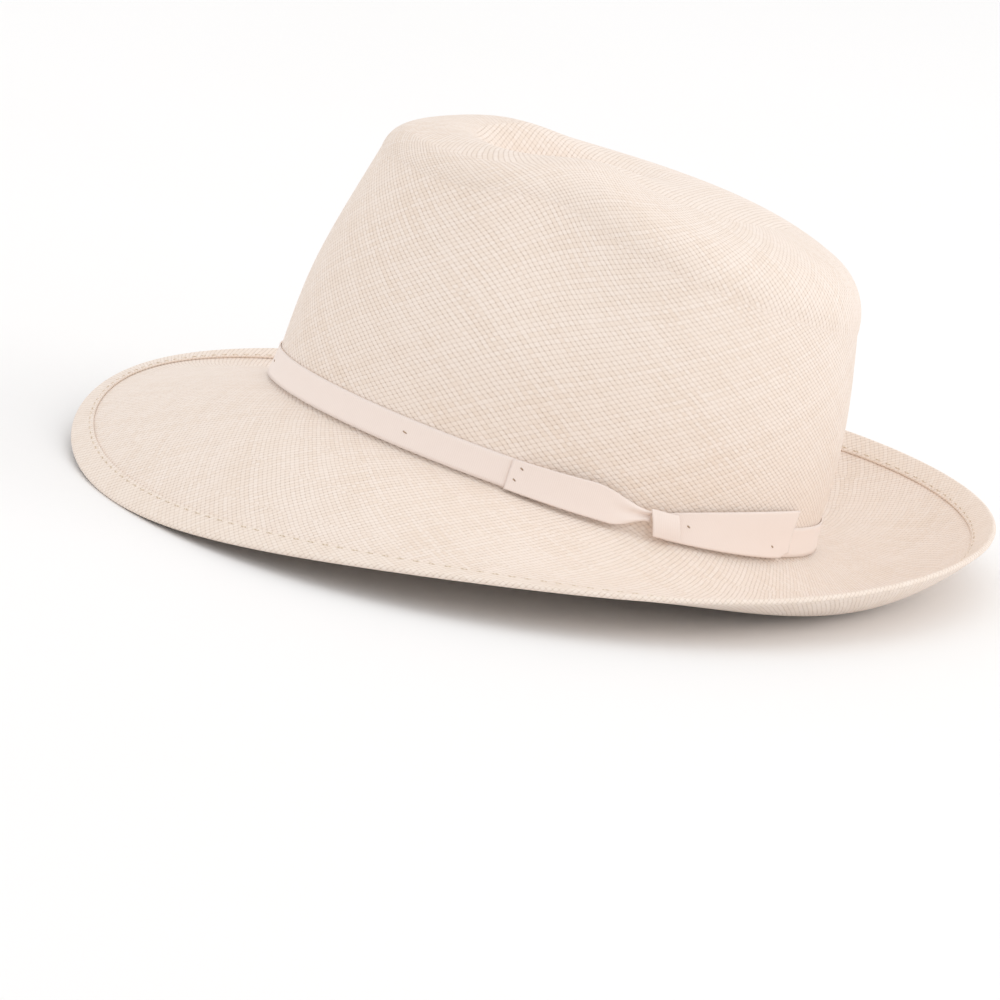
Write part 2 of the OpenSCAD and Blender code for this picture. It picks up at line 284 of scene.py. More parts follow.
    def pinch(self, turn: np.ndarray, height: np.ndarray) -> np.ndarray:
        """Depth of the two pinches at a place on the crown."""
        side = bell(self.front_angle(turn) - self.pinch_angle, self.pinch_spread)
        return self.pinch_depth * side * smooth(height / self.rim_z(turn), self.pinch_start, 1.0)

    def wall(self, turn: np.ndarray, height: np.ndarray, out: np.ndarray) -> np.ndarray:
        """Points at a distance out from the crown's wall.

        Args:
            turn: Angle from the front.
            height: Height above the crown's foot.
            out: Distance out from the wall.

        Returns:
            Points in millimetres.
        """
        turn, height, out = np.broadcast_arrays(turn, height, out)
        inset = self.wall_inset(turn, height) + self.pinch(turn, height)
        wave = self.foot_z(turn) * np.maximum(0.0, 1.0 - height / self.foot_wave_height)
        return self.beside(turn, out - inset, height + wave)

    def rim(self, turn: np.ndarray, over: np.ndarray) -> np.ndarray:
        """Points over the rim.

        Args:
            turn: Angle from the front.
            over: 0 where the rim leaves the wall, and 90 where it would lie level.

        Returns:
            Points in millimetres.
        """
        turn, over = np.broadcast_arrays(turn, over)
        top, radius = self.wall_top(turn), self.rim_r(turn)
        level = top + radius * sine(over)
        inset = self.wall_inset(turn, top) + radius * (1.0 - cosine(over)) + self.pinch(turn, level)
        return self.beside(turn, -inset, level)

    def tip(self, turn: np.ndarray, share: np.ndarray) -> np.ndarray:
        """Points of the top: a low dome with a dent behind the front of the rim.

        Args:
            turn: Angle from the front.
            share: 0 at the rim and 1 in the middle.

        Returns:
            Points in millimetres.
        """
        turn, share = np.broadcast_arrays(turn, share)
        rim = self.rim(turn, np.full(turn.shape, self.rim_end))
        x = rim[..., 0] * (1 - share)
        y = self.tip_centre + (rim[..., 1] - self.tip_centre) * (1 - share)
        reach = np.hypot(rim[..., 0], rim[..., 1] - self.tip_centre)
        climb = reach / math.tan(math.radians(self.rim_end))
        # The dome leaves the rim at the rim's own slope.
        even = share * share * (3 - 2 * share)
        level = rim[..., 2] * (1 - even) + self.dome_top * even + climb * share * (1 - share) ** 2
        behind_front = smooth(y, self.dent_front, self.dent_front + self.dent_ramp)
        before_rear = 1 - smooth(y, self.dent_rear, self.dent_rear + self.dent_fade)
        length = behind_front * before_rear * smooth(share, 0.0, self.dent_edge)
        dent = self.dent_depth * length * bell(x, self.dent_half_width)
        return np.stack([x, y, level - dent], axis=-1)

    def corner(self, turn: np.ndarray, share: np.ndarray) -> np.ndarray:
        """Points round the soft corner between brim and crown.

        Args:
            turn: Angle from the front.
            share: 0 on the brim and 1 on the crown's wall.

        Returns:
            Points in millimetres.
        """
        turn, share = np.broadcast_arrays(turn, share)
        start = self.brim(turn, self.break_radius / self.brim_reach(turn))
        middle = self.beside(turn, 0.0, self.foot_z(turn))
        end = self.wall(turn, self.break_radius, 0.0)
        share = share[..., None]
        return start * (1 - share) ** 2 + middle * 2 * share * (1 - share) + end * share**2

    def band_face(self, height: np.ndarray) -> np.ndarray:
        """Distance of the band's outer face from the crown's wall."""
        low = 1.0 - np.clip((height - self.band_low) / self.band_height, 0.0, 1.0)
        return self.gap + self.ribbon + self.band_flare * low * low

    def bow_face(self, height: np.ndarray) -> np.ndarray:
        """Distance from the wall at which a piece lies on the band."""
        return self.band_face(height) + self.gap

    def stand(self, points: np.ndarray) -> np.ndarray:
        """Leans points back so that the hat stands on its brim.

        Args:
            points: Points on the head opening, in millimetres.

        Returns:
            The same points in the row's frame, in metres.
        """
        pitch = math.radians(self.stand_pitch)
        y = points[..., 1] * math.cos(pitch) + points[..., 2] * math.sin(pitch)
        z = points[..., 2] * math.cos(pitch) - points[..., 1] * math.sin(pitch)
        return np.stack([points[..., 0], y, z], axis=-1) * MM


FORM = HatForm()


def loft(
    name: str,
    points: np.ndarray,
    closing: Closing,
    pattern: np.ndarray,
) -> bpy.types.Object:
    """Lays a grid primitive on rows of points and joins its ends.

    Args:
        name: Name of the new piece.
        points: Rows by columns by three, in metres.
        closing: OPEN, ROUND (columns meet) or RING (rows and columns meet).
        pattern: Face rows by rows' ends by columns by two: the pattern map's values
            on the lower and upper edge of each row of faces.

    Returns:
        The new object, with the map named pattern.
    """
    rows, columns = points.shape[:2]
    bpy.ops.object.select_all(action="DESELECT")
    bpy.ops.mesh.primitive_grid_add(x_subdivisions=columns - 1, y_subdivisions=rows - 1, size=1.0)
    piece = bpy.context.object
    piece.name = name
    piece.data.name = name
    mesh = piece.data
    mesh.vertices.foreach_set("co", points.reshape(-1).astype(np.float32))
    corner = np.empty(len(mesh.loops), dtype=np.int32)
    mesh.loops.foreach_get("vertex_index", corner)
    face_row = np.repeat(np.arange(len(mesh.polygons)) // (columns - 1), 4)
    row, column = corner // columns, corner % columns
    mesh.uv_layers[0].name = "pattern"
    mesh.uv_layers[0].data.foreach_set(
        "uv", pattern[face_row, row - face_row, column].reshape(-1).astype(np.float32)
    )
    mesh.update()
    if closing is not Closing.OPEN:
        bpy.ops.object.mode_set(mode="EDIT")
        bpy.ops.mesh.select_all(action="SELECT")
        bpy.ops.mesh.remove_doubles(threshold=1e-6)
        if closing is Closing.RING:
            bpy.ops.mesh.normals_make_consistent(inside=False)
        bpy.ops.object.mode_set(mode="OBJECT")
    bpy.ops.object.shade_smooth()
    return piece


def even_pattern(points: np.ndarray, along: np.ndarray) -> np.ndarray:
    """Pattern map in millimetres: along the piece, and across it.

    Args:
        points: Rows by columns by three, in metres.
        along: Place of each column along the piece, in millimetres.

    Returns:
        The pattern that loft takes.
    """
    steps = np.linalg.norm(np.diff(points, axis=0), axis=-1).mean(axis=1) / MM
    across = np.concatenate([[0.0], np.cumsum(steps)])
    rows, columns = points.shape[:2]
    made = np.empty((rows - 1, 2, columns, 2))
    made[..., 0] = along
    for end in range(2):
        made[:, end, :, 1] = across[end : rows - 1 + end, None]
    return made


def thicken(piece: bpy.types.Object, thickness: float) -> None:
    """Gives an open surface its wall.

    Args:
        piece: The surface.
        thickness: Thickness inward from its face, in millimetres.
    """
    bpy.context.view_layer.objects.active = piece
    wall = piece.modifiers.new("wall", "SOLIDIFY")
    wall.thickness = thickness * MM
    wall.offset = -1.0
    wall.use_even_offset = True
    bpy.ops.object.modifier_apply(modifier=wall.name)


def stitch_row(
    name: str, ends: np.ndarray, material: bpy.types.Material, radius: float = 0.26
) -> bpy.types.Object:
    """Models one stitch of thread and copies it to each place.

    Args:
        name: Name of the piece that holds all the stitches.
        ends: Stitches by two by three: both ends of each, in metres.
        material: The thread's finish.
        radius: Radius of the thread, in millimetres.

    Returns:
        One object with every stitch in it.
    """
    bpy.ops.object.select_all(action="DESELECT")
    bpy.ops.mesh.primitive_uv_sphere_add(segments=8, ring_count=6, radius=radius * MM)
    model = bpy.context.object
    model.data.materials.append(material)
    bpy.ops.object.shade_smooth()
    copies = []
    for number, (start, end) in enumerate(ends):
        along = Vector(end) - Vector(start)
        copy = model if number == 0 else bpy.data.objects.new(name, model.data.copy())
        copies.append((copy, Vector(start), along))
    for copy, start, along in copies:
        if copy is not model:
            bpy.context.collection.objects.link(copy)
        reach = max(along.length / 2 - radius * MM, 0.0)
        for vertex in copy.data.vertices:
            if abs(vertex.co.z) > 1e-7:
                vertex.co.z += math.copysign(reach, vertex.co.z)
        turned = along.to_track_quat("Z", "X").to_matrix().to_4x4()
        copy.data.transform(Matrix.Translation(start + along / 2) @ turned)
        copy.select_set(True)
    bpy.context.view_layer.objects.active = model
    bpy.ops.object.join()
    model.name = name
    model.data.name = name
    return model


def place(piece: bpy.types.Object, slot: Slot, *nodes: str) -> bpy.types.Object:
    """Ties a piece to the frame and reports it.

    Args:
        piece: The finished piece.
        slot: Its material slot in the record; not used.
        *nodes: The CAD nodes it stands for.

    Returns:
        The same piece.
    """
    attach(piece, ROOT)
    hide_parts(*nodes)
    LOG.info("%s: %d faces", piece.name, len(piece.data.polygons))
    return piece


def linear(code: str) -> tuple[float, float, float, float]:
    """Turns an sRGB hex code into linear colour.

    Args:
        code: Six hex digits.

    Returns:
        Red, green, blue and alpha.
    """
    parts = [int(code[i : i + 2], 16) / 255 for i in (0, 2, 4)]
    bent = [c / 12.92 if c <= 0.04045 else ((c + 0.055) / 1.055) ** 2.4 for c in parts]
    return (*bent, 1.0)


def add_node(
    tree: bpy.types.NodeTree,
    kind: str,
    links: dict[int | str, object] | None = None,
    **settings: object,
) -> bpy.types.Node:
    """Adds a node with its settings, values and links.

    Args:
        tree: Node tree of the material.
        kind: Blender's name for the node.
        links: Input to a socket to link, or to a plain value.
        **settings: Properties of the node.

    Returns:
        The new node.
    """
    made = tree.nodes.new(kind)
    for key, value in settings.items():
        setattr(made, key, value)
    for key, value in (links or {}).items():
        if isinstance(value, bpy.types.NodeSocket):
            tree.links.new(value, made.inputs[key])
        else:
            made.inputs[key].default_value = value
    return made


def new_material(name: str) -> tuple[bpy.types.Material, bpy.types.NodeTree, bpy.types.Node]:
    """Makes an empty node material.

    Args:
        name: Name of the material.

    Returns:
        The material, its tree and its surface shader.
    """
    material = bpy.data.materials.new(name)
    material.use_nodes = True
    tree = material.node_tree
    tree.nodes.clear()
    shader = add_node(tree, "ShaderNodeBsdfPrincipled")
    add_node(tree, "ShaderNodeOutputMaterial", {"Surface": shader.outputs["BSDF"]})
    return material, tree, shader


@dataclass(frozen=True)
class ToquillaStraw:
    """Bleached toquilla palm, split and woven by hand, then blocked and pressed.

    Each strand is a flat silky ribbon that goes over one and under one. Every strand
    has its own tone. The grooves between strands and the small holes at their corners get
    painted shade; those fields are shares of the painted shade colour, widths and waver are
    shares of a strand, and the rest is in millimetres.
    """

    name: str = "toquilla_straw_woven_bleached"
    strand: str = "F4E6DB"
    strand_warm: str = "EAD7C6"
    # Painted shade colour for the grooves and corner holes, then the share of it that each one gets.
    hole_shade: str = "A48468"
    row_shade: float = 0.20
    row_shade_even: float = 0.12
    cross_shade: float = 0.14
    hole_shade_share: float = 0.50
    flat_widths: tuple[float, float] = (0.58, 0.70)
    sway: float = 0.4
    waver: float = 0.24
    waver_size: float = 9.1
    patch_size: float = 26.3
    relief: float = 0.20

    def make(self) -> bpy.types.Material:
        """Builds the material from the piece's pattern map, whose unit is one strand.

        Returns:
            The material.
        """
        material, tree, shader = new_material(self.name)
        spot = add_node(tree, "ShaderNodeTexCoord").outputs["Object"]
        uv = add_node(tree, "ShaderNodeUVMap", uv_map="pattern").outputs["UV"]
        half = (0.5, 0.5, 0.5)
        drift = add_node(
            tree, "ShaderNodeTexNoise", {"Vector": spot, "Scale": 1 / (self.waver_size * MM), "Detail": 1.0}
        )
        centred = add_node(
            tree, "ShaderNodeVectorMath", {0: drift.outputs["Color"], 1: half}, operation="SUBTRACT"
        )
        moved = add_node(
            tree,
            "ShaderNodeVectorMath",
            {0: centred.outputs[0], 1: (2 * self.waver,) * 3, 2: uv},
            operation="MULTIPLY_ADD",
        )
        cell = add_node(tree, "ShaderNodeVectorMath", {0: moved.outputs[0]}, operation="FLOOR")
        inside = add_node(tree, "ShaderNodeVectorMath", {0: moved.outputs[0]}, operation="FRACTION")
        offset = add_node(
            tree, "ShaderNodeVectorMath", {0: inside.outputs[0], 1: half}, operation="SUBTRACT"
        )
        cells = add_node(tree, "ShaderNodeSeparateXYZ", {0: cell.outputs[0]}).outputs
        offsets = add_node(tree, "ShaderNodeSeparateXYZ", {0: offset.outputs[0]}).outputs
        # Which strand lies on top changes from cell to cell, as on a chequerboard.
        total = add_node(tree, "ShaderNodeMath", {0: cells[0], 1: cells[1]}, operation="ADD")
        odd = add_node(tree, "ShaderNodeMath", {0: total.outputs[0], 1: 2.0}, operation="FLOORED_MODULO")
        sign = add_node(
            tree, "ShaderNodeMath", {0: odd.outputs[0], 1: -2.0, 2: 1.0}, operation="MULTIPLY_ADD"
        )
        heights, grooves = [], []
        for family, side in enumerate((1.0, -1.0)):
            across, along = offsets[family], offsets[1 - family]
            bow = add_node(tree, "ShaderNodeMath", {0: along, 1: math.pi}, operation="MULTIPLY")
            wave = add_node(tree, "ShaderNodeMath", {0: bow.outputs[0]}, operation="COSINE")
            swing = add_node(
                tree, "ShaderNodeMath", {0: wave.outputs[0], 1: sign.outputs[0]}, operation="MULTIPLY"
            )
            from_middle = add_node(tree, "ShaderNodeMath", {0: across}, operation="ABSOLUTE")
            groove = add_node(
                tree,
                "ShaderNodeMapRange",
                {"Value": from_middle.outputs[0], "From Min": self.flat_widths[family] / 2, "From Max": 0.5},
                interpolation_type="SMOOTHSTEP",
            )
            body = add_node(
                tree, "ShaderNodeMath", {0: groove.outputs[0], 1: -0.5, 2: 0.5}, operation="MULTIPLY_ADD"
            )
            height = add_node(
                tree,
                "ShaderNodeMath",
                {0: swing.outputs[0], 1: self.sway * side, 2: body.outputs[0]},
                operation="MULTIPLY_ADD",
            )
            grooves.append(groove.outputs[0])
            heights.append(height.outputs[0])
        top = add_node(tree, "ShaderNodeMath", {0: heights[0], 1: heights[1]}, operation="MAXIMUM")
        first = add_node(tree, "ShaderNodeMath", {0: heights[0], 1: heights[1]}, operation="GREATER_THAN")
        # The second family's numbers start far from the first's, so that no two share a tone.
        second_id = add_node(tree, "ShaderNodeMath", {0: cells[1], 1: 977.0}, operation="ADD")
        strand_id = add_node(
            tree,
            "ShaderNodeMix",
            {"Factor": first.outputs[0], "A": second_id.outputs[0], "B": cells[0]},
            data_type="FLOAT",
        )
        tone = add_node(tree, "ShaderNodeTexWhiteNoise", {"W": strand_id.outputs[0]}, noise_dimensions="1D")
        chance = add_node(
            tree, "ShaderNodeTexWhiteNoise", {"Vector": cell.outputs[0]}, noise_dimensions="2D"
        ).outputs["Value"]
        patch = add_node(
            tree, "ShaderNodeTexNoise", {"Vector": spot, "Scale": 1 / (self.patch_size * MM), "Detail": 3.0}
        )
        warmth = add_node(
            tree, "ShaderNodeMath", {0: tone.outputs["Value"], 1: patch.outputs[0]}, operation="MULTIPLY"
        )
        strand = add_node(
            tree,
            "ShaderNodeMix",
            {"Factor": warmth.outputs[0], "A": linear(self.strand), "B": linear(self.strand_warm)},
            data_type="RGBA",
        )
        # Painted shade: the grooves along and across the strands and the holes at their corners are mixed
        # towards the shade colour, some rows and holes more at random.
        row = add_node(tree, "ShaderNodeMath", {0: grooves[0], 1: chance}, operation="MULTIPLY")
        both = add_node(tree, "ShaderNodeMath", {0: grooves[0], 1: grooves[1]}, operation="MULTIPLY")
        hole_shade = add_node(tree, "ShaderNodeMath", {0: both.outputs[0], 1: chance}, operation="MULTIPLY")
        dark = add_node(tree, "ShaderNodeMath", {0: grooves[1], 1: self.cross_shade}, operation="MULTIPLY")
        for share, part in (
            (self.row_shade, row.outputs[0]),
            (self.row_shade_even, grooves[0]),
            (self.hole_shade_share, hole_shade.outputs[0]),
        ):
            dark = add_node(
                tree,
                "ShaderNodeMath",
                {0: part, 1: share, 2: dark.outputs[0]},
                operation="MULTIPLY_ADD",
                use_clamp=True,
            )
        colour = add_node(
            tree,
            "ShaderNodeMix",
            {"Factor": dark.outputs[0], "A": strand.outputs[2], "B": linear(self.hole_shade)},
            data_type="RGBA",
        )
        bump = add_node(
            tree,
            "ShaderNodeBump",
            {"Height": top.outputs[0], "Strength": 1.0, "Distance": self.relief * MM},
        )
        tree.links.new(colour.outputs[2], shader.inputs["Base Color"])
        tree.links.new(bump.outputs[0], shader.inputs["Normal"])
        # A dry leaf's waxy skin: a broad soft shine, with a faint bloom at a slant.
        shader.inputs["Roughness"].default_value = 0.58
        shader.inputs["IOR"].default_value = 1.45
        shader.inputs["Sheen Weight"].default_value = 0.10
        shader.inputs["Sheen Roughness"].default_value = 0.5
        return material


@dataclass(frozen=True)
class GrosgrainRibbon:
    """Viscose grosgrain, woven with a thick weft that shows as fine ribs across the ribbon."""

    name: str = "grosgrain_ribbon_ivory"
    face: str = "F4E6DE"
    # Painted shade colour for the valleys between the ribs.
    valley_shade: str = "F0E1D8"
    rib: float = 0.7
    fuzz_size: float = 3.85
    relief: float = 0.014

    def make(self) -> bpy.types.Material:
        """Builds the material; the ribs are about as far apart as real ones.

        Returns:
            The material.
        """
        material, tree, shader = new_material(self.name)
        uv = add_node(tree, "ShaderNodeUVMap", uv_map="pattern").outputs["UV"]
        spot = add_node(tree, "ShaderNodeTexCoord").outputs["Object"]
        split = add_node(tree, "ShaderNodeSeparateXYZ", {0: uv})
        phase = add_node(
            tree, "ShaderNodeMath", {0: split.outputs[0], 1: 2 * math.pi / self.rib}, operation="MULTIPLY"
        )
        wave = add_node(tree, "ShaderNodeMath", {0: phase.outputs[0]}, operation="SINE")
        rib = add_node(
            tree, "ShaderNodeMath", {0: wave.outputs[0], 1: 0.5, 2: 0.5}, operation="MULTIPLY_ADD"
        )
        fuzz = add_node(
            tree, "ShaderNodeTexNoise", {"Vector": spot, "Scale": 1 / (self.fuzz_size * MM), "Detail": 4.0}
        )
        mixed = add_node(
            tree, "ShaderNodeMath", {0: fuzz.outputs[0], 1: 0.6, 2: rib.outputs[0]}, operation="MULTIPLY_ADD"
        )
        share = add_node(
            tree, "ShaderNodeMapRange", {"Value": mixed.outputs[0], "From Min": 0.2, "From Max": 1.3}
        )
        # Painted shade: the valleys between the ribs are darker and the rib tops lighter; the fuzz adds a
        # random tone.
        colour = add_node(
            tree,
            "ShaderNodeMix",
            {"Factor": share.outputs[0], "A": linear(self.valley_shade), "B": linear(self.face)},
            data_type="RGBA",
        )
        bump = add_node(
            tree,
            "ShaderNodeBump",
            {"Height": mixed.outputs[0], "Strength": 0.8, "Distance": self.relief * MM},
        )
        tree.links.new(colour.outputs[2], shader.inputs["Base Color"])
        tree.links.new(bump.outputs[0], shader.inputs["Normal"])
        # Spun viscose: matte, with a soft pale bloom at a slant.
        shader.inputs["Roughness"].default_value = 0.72
        shader.inputs["IOR"].default_value = 1.47
        shader.inputs["Sheen Weight"].default_value = 0.18
        shader.inputs["Sheen Roughness"].default_value = 0.45
        return material


@dataclass(frozen=True)
class CottonThread:
    """Two-ply cotton sewing thread: fine slanting twist, matte."""

    name: str = "cotton_thread"
    light: str = "E7D8C6"
    # dark is the painted shade in the twist's grooves, light the ridges.
    dark: str = "C9B49C"
    twist: float = 1.13

    def make(self) -> bpy.types.Material:
        """Builds the material; the twist is drawn longer than a real one so that it shows.

        Returns:
            The material.
        """
        material, tree, shader = new_material(self.name)
        spot = add_node(tree, "ShaderNodeTexCoord").outputs["Object"]
        # At scale 1 the slanting bands are 2 pi / (10 root 3) units wide.
        scale = 2 * math.pi / (10 * math.sqrt(3) * self.twist * MM)
        twist = add_node(
            tree,
            "ShaderNodeTexWave",
            {"Vector": spot, "Scale": scale, "Distortion": 1.5, "Detail": 1.0},
            bands_direction="DIAGONAL",
        )
        # Painted shade: the grooves of the twist are darker and its ridges lighter.
        colour = add_node(
            tree,
            "ShaderNodeMix",
            {"Factor": twist.outputs["Fac"], "A": linear(self.dark), "B": linear(self.light)},
            data_type="RGBA",
        )
        bump = add_node(
            tree, "ShaderNodeBump", {"Height": twist.outputs["Fac"], "Strength": 0.6, "Distance": 0.05 * MM}
        )
        tree.links.new(colour.outputs[2], shader.inputs["Base Color"])
        tree.links.new(bump.outputs[0], shader.inputs["Normal"])
        # Soft spun cotton: no gloss, and a trace of bloom from its fluff.
        shader.inputs["Roughness"].default_value = 0.85
        shader.inputs["Sheen Weight"].default_value = 0.15
        return material


@dataclass(frozen=True)
class SheepskinLeather:
    """Vegetable-tanned sheepskin skiver: fine pebble grain with a dull satin surface."""

    name: str = "sheepskin_skiver_natural"
    light: str = "E3CDB2"
    dark: str = "CBB092"
    pebble: float = 0.8
    cloud_size: float = 22.0

    def make(self) -> bpy.types.Material:
        """Builds the material; the grain's pebbles have their real size.

        Returns:
            The material.
        """
        material, tree, shader = new_material(self.name)
        spot = add_node(tree, "ShaderNodeTexCoord").outputs["Object"]
        grain = add_node(
            tree, "ShaderNodeTexVoronoi", {"Vector": spot, "Scale": 1 / (self.pebble * MM)}, feature="F1"
        )
        cloud = add_node(
            tree, "ShaderNodeTexNoise", {"Vector": spot, "Scale": 1 / (self.cloud_size * MM), "Detail": 5.0}
        )
        share = add_node(
            tree,
            "ShaderNodeMath",
            {0: grain.outputs["Distance"], 1: cloud.outputs[0]},
            operation="MULTIPLY",
        )
        spread = add_node(
            tree, "ShaderNodeMapRange", {"Value": share.outputs[0], "From Min": 0.1, "From Max": 0.5}
        )
        colour = add_node(
            tree,
            "ShaderNodeMix",
            {"Factor": spread.outputs[0], "A": linear(self.light), "B": linear(self.dark)},
            data_type="RGBA",
        )
        bump = add_node(
            tree,
            "ShaderNodeBump",
            {"Height": grain.outputs["Distance"], "Strength": 0.5, "Distance": 0.08 * MM},
        )
        bump.invert = True
        tree.links.new(colour.outputs[2], shader.inputs["Base Color"])
        tree.links.new(bump.outputs[0], shader.inputs["Normal"])
        # Waxed grain side: an even satin.
        shader.inputs["Roughness"].default_value = 0.5
        shader.inputs["IOR"].default_value = 1.5
        return material


@dataclass
class StrawBody:
    """Crown and brim, woven in one piece from the middle of the top out to the brim's edge.

    The zones are the rows that end a stretch with one count of strands: four on the brim,
    then the wall, and then the rim with the edge of the top.
    """

    form: HatForm = FORM
    columns: int = 288
    brim_rows: int = 50
    corner_rows: int = 6
    wall_rows: int = 30
    rim_rows: int = 12
    top_rows: int = 26
    strand: float = 1.45
    crown_lean: float = 31.0
    zones: tuple[int, ...] = (12, 25, 38, 50, 86, 105)

    def surface(self) -> np.ndarray:
        """Rows of the upper side from the brim's edge to the middle of the top.

        Returns:
            Rows by columns by three, in millimetres.
        """
        form = self.form
        turn = np.linspace(-180.0, 180.0, self.columns + 1)
        inner = form.break_radius / form.brim_reach(turn)
        rows = [form.brim(turn, inner + (1 - inner) * s) for s in np.linspace(1.0, 0.0, self.brim_rows + 1)]
        rows += [form.corner(turn, s) for s in np.linspace(0.0, 1.0, self.corner_rows + 1)[1:]]
        low, high = form.break_radius, form.wall_top(turn)
        rise = np.linspace(0.0, 1.0, self.wall_rows + 1)[1:]
        rows += [form.wall(turn, low + (high - low) * s, 0.0) for s in rise]
        rows += [form.rim(turn, a) for a in np.linspace(0.0, form.rim_end, self.rim_rows + 1)[1:]]
        rows += [form.tip(turn, s) for s in np.linspace(0.0, 1.0, self.top_rows + 1)[1:]]
        return np.stack(rows)

    def weave(self, points: np.ndarray) -> np.ndarray:
        """Pattern map in strands: diagonals round the brim, the wall and the rim, straight on top.

        Strands are added in rounds from the crown out to the brim's edge, so each zone has
        its own count.

        Args:
            points: The surface, in millimetres.

        Returns:
            The pattern that loft takes.
        """
        rows, columns = points.shape[:2]
        share = np.linspace(0.0, 1.0, columns)
        made = np.zeros((rows - 1, 2, columns, 2))
        steps = np.linalg.norm(np.diff(points, axis=0), axis=-1).mean(axis=1)
        climb = np.concatenate([[0.0], np.cumsum(steps)])
        lean = math.radians(self.crown_lean)
        across, upward = math.sin(lean) / self.strand, math.cos(lean) / self.strand
        even = math.sqrt(0.5) / self.strand
        for start, stop in zip((0, *self.zones[:-1]), self.zones):
            sideways, rise = even, even
            if start == self.brim_rows:
                sideways, rise = across, upward
            elif start < self.brim_rows:
                # On the brim the two families of strands change places.
                rise = -even
            middle = points[(start + stop) // 2]
            count = round(np.linalg.norm(np.diff(middle, axis=0), axis=-1).sum() * sideways)
            for face in range(start, stop):
                for end in range(2):
                    made[face, end, :, 0] = share * count + climb[face + end] * rise
                    made[face, end, :, 1] = share * count - climb[face + end] * rise
        for face in range(self.zones[-1], rows - 1):
            for end in range(2):
                spot = points[face + end] * even
                made[face, end, :, 0] = spot[:, 0] + spot[:, 1]
                made[face, end, :, 1] = spot[:, 0] - spot[:, 1]
        return made

    def build(self) -> bpy.types.Object:
        """Builds and dresses the body.

        Returns:
            The body, with its thickness.
        """
        points = self.surface()
        piece = loft("woven_straw_body", self.form.stand(points), Closing.ROUND, self.weave(points))
        piece.data.materials.append(ToquillaStraw().make())
        thicken(piece, self.form.straw)
        return place(piece, Slot.STRAW, "straw_body")


@dataclass
class FoldedHem:
    """The brim's edge: the straw's last rounds folded over onto the top and sewn down."""

    form: HatForm = FORM
    columns: int = 480
    strand: float = 1.45
    layer: float = 0.8
    lift: float = 0.1
    past_edge: float = 0.05
    swell: float = 0.12
    fold_step: int = 15
    stitches: int = 180
    stitch_share: float = 0.45
    stitch_inset: float = 0.9
    stitch_rise: float = 0.05

    def profile(self) -> list[tuple[float, float]]:
        """Section of the hem, from its inner edge over the top, round the fold and back.

        Returns:
            Distances in from the brim's edge and up from the straw, closed.
        """
        low, high = -self.form.straw, self.lift + self.layer
        half, middle = (high - low) / 2, (high + low) / 2
        wide = self.form.hem_width
        # The inner edge is eased off over 0.4 mm, and the top swells between edge and fold.
        section = [(wide, self.lift), (wide, high - 0.35), (wide - 0.12, high - 0.12), (wide - 0.4, high)]
        section += [(wide * s, high + self.swell * math.sin(math.pi * s)) for s in (0.75, 0.5, 0.25)]
        section += [
            (-self.past_edge - half * math.cos(math.radians(a)), middle + half * math.sin(math.radians(a)))
            for a in range(90, -91, -self.fold_step)
        ]
        section += [(-self.past_edge, self.lift), (wide / 2, self.lift)]
        return [*section, section[0]]

    def build(self) -> bpy.types.Object:
        """Builds the hem as one closed ring and dresses it.

        Returns:
            The hem.
        """
        turn = np.linspace(-180.0, 180.0, self.columns + 1)
        points = np.stack([self.form.on_brim(turn, inward, up) for inward, up in self.profile()])
        stood = self.form.stand(points)
        around = np.linalg.norm(np.diff(points[0], axis=0), axis=-1).sum()
        even = math.sqrt(0.5) / self.strand
        pattern = even_pattern(stood, np.linspace(0.0, 1.0, self.columns + 1) * round(around * even))
        down = pattern[..., 1] * even
        pattern[..., 1] = pattern[..., 0] - down
        pattern[..., 0] += down
        piece = loft("folded_brim_hem", stood, Closing.RING, pattern)
        finish = ToquillaStraw(
            name="toquilla_straw_folded_hem",
            strand="F3E5D9",
            strand_warm="EBD9C9",
            # Less painted shade in the corner holes on the hem.
            hole_shade_share=0.2,
            relief=0.18,
        )
        piece.data.materials.append(finish.make())
        return place(piece, Slot.HEM, "brim_hem")

    def sew(self) -> bpy.types.Object:
        """Sews the row of running stitches along the hem's inner edge.

        Returns:
            One object with every stitch.
        """
        step = 360.0 / self.stitches
        start = np.arange(self.stitches) * step
        inward = self.form.hem_width - self.stitch_inset
        up = self.lift + self.layer + self.stitch_rise
        ends = np.stack(
            [
                self.form.on_brim(start, inward, up),
                self.form.on_brim(start + step * self.stitch_share, inward, up),
            ],
            axis=1,
        )
        thread = CottonThread(name="cotton_thread_hem", light="E9DAC8", dark="CDB9A1")
        piece = stitch_row("hem_running_stitch", self.form.stand(ends), thread.make())
        return place(piece, Slot.HEM_THREAD, "hem_stitching")


